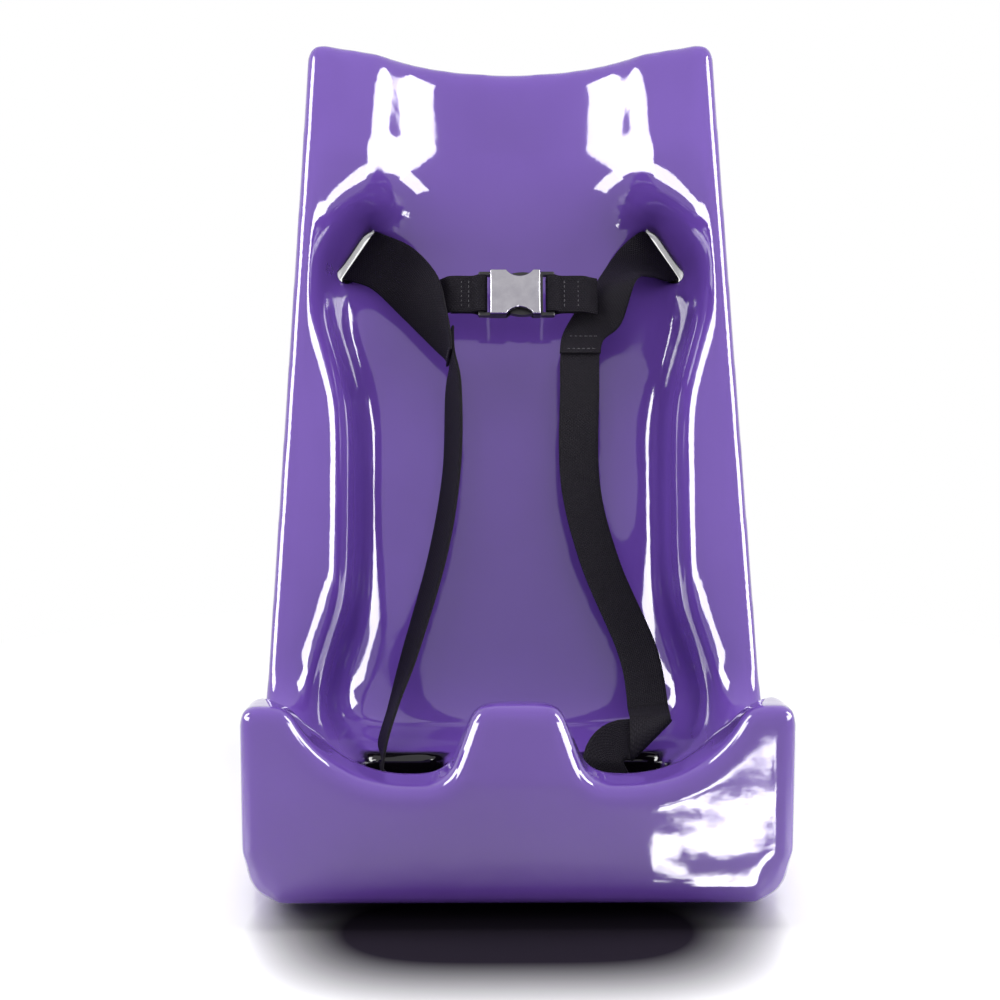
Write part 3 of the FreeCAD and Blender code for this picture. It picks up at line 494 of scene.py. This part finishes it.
def seat_shell():
    """The solid's mesh in even small faces, set on the solid again and then shaped in millimetres."""
    source = nodes["seat_body"].data
    shell = new_object("seat_shell", source.copy(), skin)
    remesh = shell.modifiers.new("remesh", "REMESH")
    remesh.mode = "VOXEL"
    remesh.voxel_size = 0.0025
    apply_modifiers(shell)
    tree = BVHTree.FromPolygons([v.co for v in source.vertices], [p.vertices for p in source.polygons])
    mesh = shell.data
    for vertex in mesh.vertices:
        vertex.co = tree.find_nearest(vertex.co)[0]
    count = len(mesh.vertices)
    flat = np.empty(count * 3)
    mesh.vertices.foreach_get("co", flat)
    points = flat.reshape(count, 3)
    pairs = np.empty(len(mesh.edges) * 2, dtype=np.int64)
    mesh.edges.foreach_get("vertices", pairs)
    edges = pairs.reshape(-1, 2)
    points = points / MM
    points[:, 1] -= FRONT / MM
    relax(points, edges, np.ones(count), 6)
    shape_seat(points, edges)
    normals = np.empty(count * 3)
    mesh.vertices.foreach_get("normal", normals)
    dress_seat(points, normals.reshape(count, 3))
    open_slots(points)
    relax(points, edges, np.ones(count), 2)
    # Painted shade: a point attribute that blacks out the inside of the hip slots.
    shade = mesh.attributes.new("hollow", "FLOAT", "POINT")
    shade.data.foreach_set("value", hollow_shade(points))
    points[:, 1] += FRONT / MM
    mesh.vertices.foreach_set("co", (points * MM).ravel())
    mesh.update()
    surface(mesh, skin)
    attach(shell, "root")
    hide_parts("seat_body")


seat_shell()


# Webbing

thickness = 1.8
shoulder_webbing = 38.0
hip_webbing = 25.0
rear_gap = 2.3
sewn_gap = 0.1
rear_reach = 67.0
rear_join = 262.0
join_length = 24.0
bend_radius = 7.0


def blend_of(a, b, c, d, share):
    """A smooth curve through four values, at a share of the way from the second to the third."""
    square, cube = share ** 2, share ** 3
    curve = b * 2 + (c - a) * share + (a * 2 - b * 5 + c * 4 - d) * square
    return (curve + (b * 3 - a - c * 3 + d) * cube) / 2


def smoothed(sections, count):
    """The same sections with a smooth run between them, in count steps from each to the next."""
    result = []
    for i in range(len(sections) - 1):
        a, b = sections[max(i - 1, 0)], sections[i]
        c, d = sections[i + 1], sections[min(i + 2, len(sections) - 1)]
        for step in range(count):
            share = step / count
            result.append(tuple(blend_of(*ends, share) for ends in zip(a, b, c, d)))
    return result + [sections[-1]]


def half_width(width, side, x, up=0.0, depth=0.0):
    way = across * (side * x) + up_back * up + into_back * depth
    return way.normalized() * (width / 2)


def on_rear(station, side, layer=0.0, at=rear_reach):
    height = rear_gap + thickness / 2 + layer * (thickness + sewn_gap)
    return wing(station, rear_depth(station) + height, side * at)


def tape_ring(columns):
    """The tape's outline, in shares of its half width and of its thickness."""
    flat = []
    for i in range(columns + 1):
        share = -1 + 2 * i / columns
        flat.append((share * 0.975, 0.5 - 0.10 * max(0.0, abs(share) - 0.86) / 0.14))
    ring = flat + [(1.0, 0.18), (1.0, -0.18)]
    return ring + [(share, -height) for share, height in reversed(flat)] + [(-1.0, -0.18), (-1.0, 0.18)]


def strap(name, sections, columns=12):
    """A woven tape through sections, each a centre and half its width, with rolled edges."""
    centres = [centre for centre, half in sections]
    lengths = [0.0]
    for p, q in zip(centres, centres[1:]):
        lengths.append(lengths[-1] + (q - p).length)
    tape = bmesh.new()
    weave = tape.loops.layers.uv.new("weave")
    rows = []
    ring = tape_ring(columns)
    for i, (centre, half) in enumerate(sections):
        before = centres[max(i - 1, 0)]
        after = centres[min(i + 1, len(centres) - 1)]
        normal = (after - before).cross(half).normalized()
        rows.append([tape.verts.new(put(centre + half * share + normal * (height * thickness)))
                     for share, height in ring])
    width = sections[0][1].length
    count = len(ring)
    for i in range(len(rows) - 1):
        for j in range(count):
            k = (j + 1) % count
            face = tape.faces.new((rows[i][j], rows[i + 1][j], rows[i + 1][k], rows[i][k]))
            for loop, (row, column) in zip(face.loops, ((i, j), (i + 1, j), (i + 1, k), (i, k))):
                loop[weave].uv = (ring[column][0] * width, lengths[row])
    tape.faces.new(rows[0])
    tape.faces.new(list(reversed(rows[-1])))
    return object_of(name, tape, webbing)


def shoulder_tail(side):
    """From the join on the rear face, along a curve and up to the slot."""
    inward = half_width(2.0, side, -math.sin(slot_tilt), -math.cos(slot_tilt))
    centre = wing(slot_station, 0, side * slot_reach)
    to_run = (slot_reach - rear_reach) / abs(inward.x)
    corner = centre + inward * to_run
    start = wing(rear_join + join_length, 0, side * rear_reach)
    end = centre + inward * bend_radius
    first, second = (corner - start).normalized(), (end - corner).normalized()
    sections = [(on_rear(rear_join, side, 1), half_width(shoulder_webbing, side, 1))]
    count = 5
    for i in range(count + 1):
        share = i / count
        flat = start * (1 - share) ** 2 + corner * (2 * share * (1 - share)) + end * share ** 2
        heading = first * (1 - share) + second * share
        half = heading.cross(into_back).normalized() * (side * shoulder_webbing / 2)
        station = (flat - wing_foot).dot(up_back)
        sections.append((on_rear(station, side, 1 - share, side * flat.x), half))
    return sections


def round_bend(sections, centre, run):
    """A quarter turn from the last section's heading towards centre into the heading run."""
    steps = 5
    last, half = sections[-1]
    ahead = centre - last
    ahead = ahead - run * ahead.dot(run)
    radius = ahead.length
    ahead = ahead.normalized()
    pivot = last + run * radius
    bend = []
    for i in range(1, steps + 1):
        angle = math.pi / 2 * i / steps
        arm = ahead * math.sin(angle) - run * math.cos(angle)
        bend.append((pivot + arm * radius, half))
    return bend


# The free runs of the shoulder straps: how far out, the station and the depth of the middle line,
# then half of the width in the same three directions, towards the outer edge.
right_free = [
    (79.5, 383.5, 45.0, (11.0, -11.0, -9.0)),
    (66.5, 366.0, 27.0, (12.5, -2.5, -13.0)),
    (55.5, 344.0, 31.0, (14.5, -5.0, -4.0)),
    (45.5, 330.0, 29.0, (13.2, -1.5, 0.0)),
    (43.5, 319.0, 27.0, (13.0, 0.0, 0.0)),
]
left_free = [
    (75.5, 380.5, 44.0, (13.1, -13.6, 1.0)),
    (58.5, 358.0, 31.0, (11.8, -9.8, 11.4)),
    (44.8, 334.0, 27.5, (3.9, -8.5, 13.0)),
    (39.8, 322.0, 27.0, (1.6, -4.0, 12.4)),
    (39.6, 316.0, 27.0, (1.4, -2.0, 12.7)),
]


def free_sections(side):
    rows = right_free if side > 0 else left_free
    return [(wing(station, depth, side * at), across * (side * out) + up_back * up + into_back * back)
            for at, station, depth, (out, up, back) in rows]


def shoulder_sections(side):
    sections = shoulder_tail(side)
    centre = wing(slot_station, 0, side * slot_reach)
    sections += round_bend(sections, centre, into_back * -1)
    way = slot_way(side) * (shoulder_webbing / 2)
    sections = [(point, half if half.dot(way) > 0 else half * -1) for point, half in sections]
    mouth = centre + into_back * cushion_depth(slot_station)
    outside = mouth + (across * -side + up_back * -0.6) * 7 - into_back * 6
    sections += [(mouth + into_back * thickness, way), (outside, way)]
    return smoothed(sections + free_sections(side), 6)


# The free runs of the hip straps, in shares of the way from the junction to the slot: across, along
# the back and into it, then the direction in which the tape lies flat.
right_run = [
    (-0.02, 0.08, -0.10, (1.0, 0.0, 0.0)),
    (-0.02, 0.31, -0.56, (1.0, 0.0, 0.1)),
    (0.50, 0.507, -0.68, (1.0, 0.15, 0.15)),
    (1.45, 0.72, -0.55, (1.0, 0.25, 0.15)),
    (1.68, 0.86, -0.05, (1.0, 0.1, 0.0)),
]
left_run = [
    (-0.10, 0.08, -0.10, (0.42, 0.0, 1.0)),
    (-0.06, 0.27, -0.50, (0.50, 0.0, 1.0)),
    (0.26, 0.48, -0.68, (0.58, 0.0, 1.0)),
    (0.88, 0.72, -0.50, (0.52, 0.0, 1.0)),
    (1.24, 0.852, -0.05, (0.32, 0.0, 1.0)),
    (1.46, 0.94, 0.40, (0.26, 0.1, 1.0)),
]


def hip_mouth(side):
    return Vector((side * hip_reach, hip_setback, pan_height))


def free_run(side):
    """From under the shoulder strap's end to just above the hip slot."""
    (before, _), (start, half) = free_sections(side)[-2:]
    heading = (start - before).normalized()
    behind = heading.cross(half).normalized()
    if behind.dot(into_back) < 0:
        behind = behind * -1
    share = hip_webbing / (2 * half.length)
    offset = behind * (thickness + sewn_gap)
    sections = [(start + offset - heading * 16, half * share), (start + offset, half * share)]
    mouth = hip_mouth(side)
    span = mouth - start
    for at, station, depth, way in (right_run if side > 0 else left_run):
        point = start + across * (span.x * at) + up_back * (span.dot(up_back) * station)
        point += into_back * (span.dot(into_back) * depth)
        turned = half_width(hip_webbing, side, *way)
        sections.append((point, turned if turned.dot(sections[-1][1]) > 0 else turned * -1))
    return sections


def right_fold():
    """One slanted fold above the slot, which turns the tape inwards, and a turn down into the slot."""
    fold_height = 14
    wide = hip_webbing / 2
    last = free_run(1)[-1][0]
    layer = thickness + sewn_gap
    fold = Vector((last.x, hip_setback + layer * 2, pan_height + fold_height))
    outwards = (across - up_back) * (layer / 2 / math.sqrt(2))
    slant = (across + up_back) * wide
    behind = fold + into_back * layer
    sections = [
        (fold + up_back * (wide + layer / 2), across * wide),
        (fold, slant),
        (fold + outwards + into_back * (layer / 2), slant),
        (behind, slant),
    ]
    turn = behind - across * (wide + layer)
    pivot = turn - up_back * (wide + layer)
    steps = 8
    for i in range(steps + 1):
        angle = math.pi / 2 * i / steps
        arm = up_back * math.cos(angle) - across * math.sin(angle)
        sections.append((pivot + arm * (wide + layer), arm * wide))
    return sections


def lower_run(side):
    """Down through the slot, along the channel under the seat, round the heel and up to the join."""
    clearance = 0.35
    half = across * (-side * hip_webbing / 2)
    middle = thickness / 2
    roof = channel_roof - clearance - middle
    mouth = hip_mouth(side)
    sections = [
        (Vector((mouth.x, mouth.y, roof + 2 * bend_radius)), half),
        (Vector((mouth.x, mouth.y, roof + bend_radius)), half),
    ]
    sections += round_bend(sections, Vector((mouth.x, mouth.y + bend_radius, 0)), floor_way)
    height = heel_radius + rear_gap + middle
    leave = math.acos((heel_radius - roof) / height)
    rear_way = wing(0, rear_foot) - wing(back_length, rear_top)
    steep = math.atan2(-rear_way.z, -rear_way.y)
    # The heel's arc touches the floor and the rear face
    start = wing(0, rear_foot)
    heel_y = start.y + ((heel_radius - start.z) * math.cos(steep) - heel_radius) / math.sin(steep)
    steps = 8
    for i in range(steps + 1):
        angle = leave + (steep - leave) * i / steps
        y = heel_y + height * math.sin(angle)
        sections.append((Vector((mouth.x, y, heel_radius - height * math.cos(angle))), half))
    sections.append((on_rear(rear_join + join_length, side), half))
    return sections


def hip_sections(side):
    """The right strap is folded above its slot. The left one goes in on edge, near the outer end."""
    below = lower_run(side)
    if side > 0:
        return smoothed(free_run(side), 10) + right_fold() + below
    from_slot_end, drop = 13.5, 7.7
    run = free_run(side)
    sign = 1 if run[-1][1].dot(floor_way) > 0 else -1
    edgewise = floor_way * (hip_webbing / 2 * sign)
    entry = hip_mouth(side) + Vector((from_slot_end - hip_half_length, 0, 0))
    into_slot = [(entry, edgewise), (entry - Vector((0, 0, drop)), edgewise)]
    if sign < 0:
        below = [(point, half * -1) for point, half in below]
    return smoothed(run + into_slot + below[:1], 10) + below[1:]


for side, name in ((-1, "left"), (1, "right")):
    piece = strap(name + "_shoulder_webbing", shoulder_sections(side), 16)
    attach(piece, "root")
    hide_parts(name + "_shoulder_strap")
    piece = strap(name + "_hip_webbing", hip_sections(side))
    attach(piece, "root")
    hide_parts(name + "_hip_strap")


# Chest buckle

buckle_reach, buckle_station, buckle_depth = 2.5, 357.0, 24.0
buckle_lean = math.radians(30)
buckle_up = Vector((0, math.sin(buckle_lean), math.cos(buckle_lean)))
buckle_out = Vector((0, -math.cos(buckle_lean), math.sin(buckle_lean)))
housing_length = 32.0
plug_frame = 1.55
bar_setback, bar_width = 3.9, 3.6
sewn_from_bar = 4.5


def in_buckle(x, y, z):
    return wing(buckle_station, buckle_depth, buckle_reach) + across * x + buckle_up * y + buckle_out * z


def bar_start(side):
    """How far out the strap bar begins. The plug's bar lies further out, by its frame."""
    return housing_length / 2 + (plug_frame if side > 0 else 0.0) + bar_setback


def sewn_start(side):
    return bar_start(side) + bar_width + sewn_from_bar


def chest_sections(side):
    """Two layers, sewn together, that part round the strap bar, and a free end that drops a little."""
    sewn_length, far_end = 13.0, 52.0
    bar_in = bar_start(side)
    bar_out = bar_in + bar_width
    middle = thickness / 2
    turn = middle + 0.35
    round_out = 2.0 + turn
    layer = middle + sewn_gap / 2
    sewn = sewn_start(side)
    drop = 3.6 if side > 0 else 8.5
    sewn_end = sewn + sewn_length
    path = [
        (far_end, -drop), ((far_end + sewn_end) / 2, (layer - drop) / 2),
        (sewn_end, layer), (sewn, layer), (bar_out, round_out), (bar_in, round_out),
    ]
    steps = 5
    for i in range(1, steps + 1):
        angle = math.pi / 2 * i / steps
        path.append((bar_in - turn * math.sin(angle), round_out - turn * (1 - math.cos(angle))))
    back = [(x, -z) for x, z in reversed(path[2:])]
    half = buckle_up * (hip_webbing / 2)
    return smoothed([(in_buckle(side * x, 0, z), half) for x, z in path + back], 4)


for side, name, body in ((-1, "left", "buckle_housing"), (1, "right", "buckle_plug")):
    piece = strap(name + "_chest_webbing", chest_sections(side))
    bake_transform(piece)
    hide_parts(name + "_chest_strap")


def cover_plate():
    """The bright plate: crowned, with rolled edges and two thumb scallops."""
    half, tall, roll = housing_length / 2, 15.0, 0.8
    scallop, depth, shift = 10.5, 4.4, 2.8
    centre = tall + scallop - depth
    columns, rows = 72, 60
    low, top, crown = 4.5, 6.3, 1.1
    plate = bmesh.new()

    def edge_y(x):
        off = abs(x - shift)
        if off >= scallop:
            return tall
        return min(tall, centre - math.sqrt(scallop ** 2 - off ** 2))

    grid = []
    for i in range(columns + 1):
        x = -half * math.cos(math.pi * i / columns) * 0.35 + (-half + 2 * half * i / columns) * 0.65
        limit = edge_y(x)
        line = []
        for j in range(rows + 1):
            share = -math.cos(math.pi * j / rows) * 0.6 + (-1 + 2 * j / rows) * 0.4
            y = limit * share
            gap = min(half - abs(x), limit - abs(y))
            for end in (-1, 1):
                reach_to = math.hypot(x - shift, y - end * centre) - scallop
                gap = min(gap, max(0.0, reach_to))
            drop = 0.0
            if gap < roll:
                drop = roll - math.sqrt(max(0.0, roll ** 2 - (roll - gap) ** 2))
            z = top - drop + crown * (1 - (y / tall) ** 2) * min(1.0, gap / 3.0) ** 0.5
            z = max(z, top - roll)
            line.append(plate.verts.new(put(in_buckle(x, y, z))))
        grid.append(line)
    for i in range(columns):
        for j in range(rows):
            plate.faces.new((grid[i][j], grid[i + 1][j], grid[i + 1][j + 1], grid[i][j + 1]))
    rim = [edge for edge in plate.edges if edge.is_boundary]
    skirt = bmesh.ops.extrude_edge_only(plate, edges=rim)
    out = buckle_out * MM
    moved = [item for item in skirt["geom"] if isinstance(item, bmesh.types.BMVert)]
    level = put(in_buckle(0, 0, low))
    for vertex in moved:
        vertex.co -= out * ((vertex.co - level).dot(buckle_out) / MM)
    bmesh.ops.contextual_create(plate, geom=[edge for edge in plate.edges if edge.is_boundary])
    return object_of("cover_plate", plate, bright)


plate = cover_plate()
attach(plate, "buckle_housing")
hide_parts("buckle_cover")


def stitches(name, rows, square, body, replaced=None):
    """Rows of thread: each row runs from one point to another, with single stitches on the webbing."""
    pitch, length, radius, sink, facets = 3.0, 2.3, 0.3, 0.35, 8
    sewn = bmesh.new()
    for start, end in rows:
        span = end - start
        count = max(1, int(span.length / pitch))
        way = span.normalized()
        side_way = way.cross(square).normalized()
        for k in range(count):
            middle = start + span * ((k + 0.5) / count)
            rings = []
            for along in (-1.0, -0.8, -0.4, 0.0, 0.4, 0.8, 1.0):
                thick = radius * math.sqrt(max(0.04, 1 - abs(along) ** 3))
                centre = middle + way * (along * length / 2) - square * (sink * along ** 2)
                ring = []
                for m in range(facets):
                    angle = 2 * math.pi * m / facets
                    round_it = square * (thick * math.sin(angle)) + side_way * (thick * math.cos(angle))
                    ring.append(sewn.verts.new(put(centre + round_it)))
                rings.append(ring)
            for a, b in zip(rings, rings[1:]):
                for m in range(facets):
                    n = (m + 1) % facets
                    sewn.faces.new((a[m], a[n], b[n], b[m]))
            sewn.faces.new(list(reversed(rings[0])))
            sewn.faces.new(rings[-1])
    piece = object_of(name, sewn, thread)
    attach(piece, body)
    if replaced:
        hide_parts(replaced)


def chest_stitching(side, name, body):
    """Two rows across the sewn layers. The left outer row keeps clear of the shoulder strap."""
    row_half, lift = 9.5, 1.85
    inner_row, outer_row = 1.6, 6.2 if side < 0 else 10.4
    rows = []
    for off in (inner_row, outer_row):
        x = side * (sewn_start(side) + off)
        rows.append((in_buckle(x, -row_half, lift), in_buckle(x, row_half, lift)))
    stitches(name + "_chest_thread", rows, buckle_out, body, name + "_chest_stitching")


def rear_stitching():
    """A crossed box on each join behind the back."""
    inset, box_half = 3.6, 8.9
    layer = rear_gap + 2 * thickness + 0.25
    low, high = rear_join + inset, rear_join + join_length - inset
    rows = []
    for side in (-1, 1):
        box = ((low, -box_half), (low, box_half), (high, box_half), (high, -box_half))
        corners = [wing(at, rear_depth(at) + layer, side * rear_reach + off) for at, off in box]
        rows += list(zip(corners, corners[1:] + corners[:1]))
        rows += [(corners[0], corners[2]), (corners[1], corners[3])]
    rear_out = (wing(back_length, rear_top) - wing(0, rear_foot)).normalized().cross(across)
    stitches("rear_thread", rows, rear_out, "root", "rear_stitching")


def junction_stitching(side, name):
    """Two rows across the shoulder strap's end, where the hip strap is sewn under it."""
    (before, _), (start, half) = free_sections(side)[-2:]
    heading = (start - before).normalized()
    facing = heading.cross(half).normalized()
    if facing.dot(into_back) > 0:
        facing = facing * -1
    lift = facing * (thickness / 2 + 0.1)
    edge = half * 0.72
    middles = [start - heading * back + lift for back in (3, 12)]
    rows = [(middle - edge, middle + edge) for middle in middles]
    stitches(name + "_junction_thread", rows, facing, "root")


for side, name, body in ((-1, "left", "buckle_housing"), (1, "right", "buckle_plug")):
    chest_stitching(side, name, body)
rear_stitching()
for side, name in ((-1, "left"), (1, "right")):
    junction_stitching(side, name)

# The buckle's plastic parts and the slides are the solids themselves, with softened edges.
for name, material in (
        ("buckle_housing", black), ("buckle_plug", black),
        ("upper_release_arm", black), ("lower_release_arm", black),
        ("left_slide", slide_black), ("right_slide", slide_black)):
    for entry in nodes[name].material_slots:
        entry.material = material
    soft_edge = nodes[name].modifiers.new("soft_edge", "BEVEL")
    soft_edge.width = 0.00025
    soft_edge.segments = 2
    soft_edge.limit_method = "ANGLE"
    soft_edge.angle_limit = math.radians(40)


# Floor and light

def flat_sheet(name, corners, height, material):
    mesh = bpy.data.meshes.new(name)
    mesh.from_pydata([(x, y, height) for x, y in corners], [], [(0, 1, 2, 3)])
    sheet = new_object(name, mesh, material, False)
    return sheet


def studio_world():
    """Plain white where it is seen, and a dim room with a bright ceiling as light."""
    world = bpy.data.worlds.new("studio")
    bpy.context.scene.world = world
    world.use_nodes = True
    tree = world.node_tree
    background = tree.nodes["Background"]
    background.inputs["Strength"].default_value = 1.0
    seen = seen_rays(tree)
    sky = add(tree, "ShaderNodeTexCoord")
    height = add(tree, "ShaderNodeSeparateXYZ")
    link(tree, sky.outputs["Generated"], height.inputs[0])
    room = ramp(tree, height.outputs["Z"], grey(0.32), grey(1.0), 0.80, 0.93)
    shown = add(tree, "ShaderNodeMix", _data_type="RGBA")
    link(tree, seen, shown.inputs["Factor"])
    link(tree, room, shown.inputs["A"])
    shown.inputs["B"].default_value = (1, 1, 1, 1)
    link(tree, shown.outputs["Result"], background.inputs["Color"])


def softbox(name, place, target, width, height, radiance, shine=False):
    """A soft lamp. Radiance 1 looks as bright as white paper. It gives either shine or light."""
    data = bpy.data.lights.new(name, "AREA")
    data.shape = "RECTANGLE"
    data.size, data.size_y = width, height
    data.energy = radiance * math.pi * width * height
    lamp = bpy.data.objects.new(name, data)
    lamp.location = place
    aim = Vector(target) - Vector(place)
    lamp.rotation_euler = aim.to_track_quat("-Z", "Y").to_euler()
    lamp.visible_camera = False
    lamp.visible_glossy = shine
    lamp.visible_diffuse = not shine
    bpy.context.collection.objects.link(lamp)


def glint_material():
    """A glowing card, which is no lamp: ragged bright patches that shine upwards only, as a painted
    reflection.
    """
    material, tree, _ = new_material("glint")
    ragged = ramp(tree, noise_of(tree, 17.0, 3.0, 0.55), grey(0), grey(1), 0.44, 0.50)
    facing = add(tree, "ShaderNodeNewGeometry")
    ragged = maths(tree, "MULTIPLY", ragged, facing.outputs["Backfacing"])
    clear = add(tree, "ShaderNodeBsdfTransparent")
    glow = add(tree, "ShaderNodeEmission", Strength=22.0)
    mix = add(tree, "ShaderNodeMixShader")
    link(tree, ragged, mix.inputs[0])
    link(tree, clear.outputs[0], mix.inputs[1])
    link(tree, glow.outputs[0], mix.inputs[2])
    link(tree, mix.outputs[0], tree.nodes["Material Output"].inputs["Surface"])
    return material


def glint_card():
    """A glowing card hidden from the camera and from diffuse light; the front block mirrors it as a
    painted highlight. It lies ahead of the block, right of the middle.
    """
    near, far = FRONT - 0.055, FRONT - 0.36
    corners = [(0.078, near), (0.158, near), (0.215, far), (0.098, far)]
    glint = flat_sheet("glint", corners, 0.001, glint_material())
    glint.visible_camera = False
    glint.visible_diffuse = False
    glint.visible_shadow = False


flat_sheet("floor", [(-30, -30), (30, -30), (30, 30), (-30, 30)], 0, floor_material())
studio_world()

head_aim = (0, 0.2, 0.40)
for way, name in ((-1, "left"), (1, "right")):
    softbox(name + "_window", (way * 1.17, -0.07, 0.80), (0, 0.2, 0.80), 0.60, 1.06, 15.0, shine=True)
    softbox(name + "_side", (way * 1.17, -0.07, 0.98), head_aim, 0.42, 0.80, 10.0)
    low_place = (way * 0.95, -0.54, 0.37)
    softbox(name + "_low_window", low_place, (0, 0.2, 0.37), 0.55, 0.34, 15.0, shine=True)
softbox("overhead", (0.0, 0.0, 2.2), (0, 0, 0), 1.4, 1.0, 3.4)
softbox("fill", (0.0, -2.6, 1.9), (0, 0, 0.2), 2.0, 1.4, 3.2)
# A glowing card, no lamp, paints a highlight into the front block's reflection.
glint_card()

bpy.context.scene.view_settings.view_transform = "Standard"
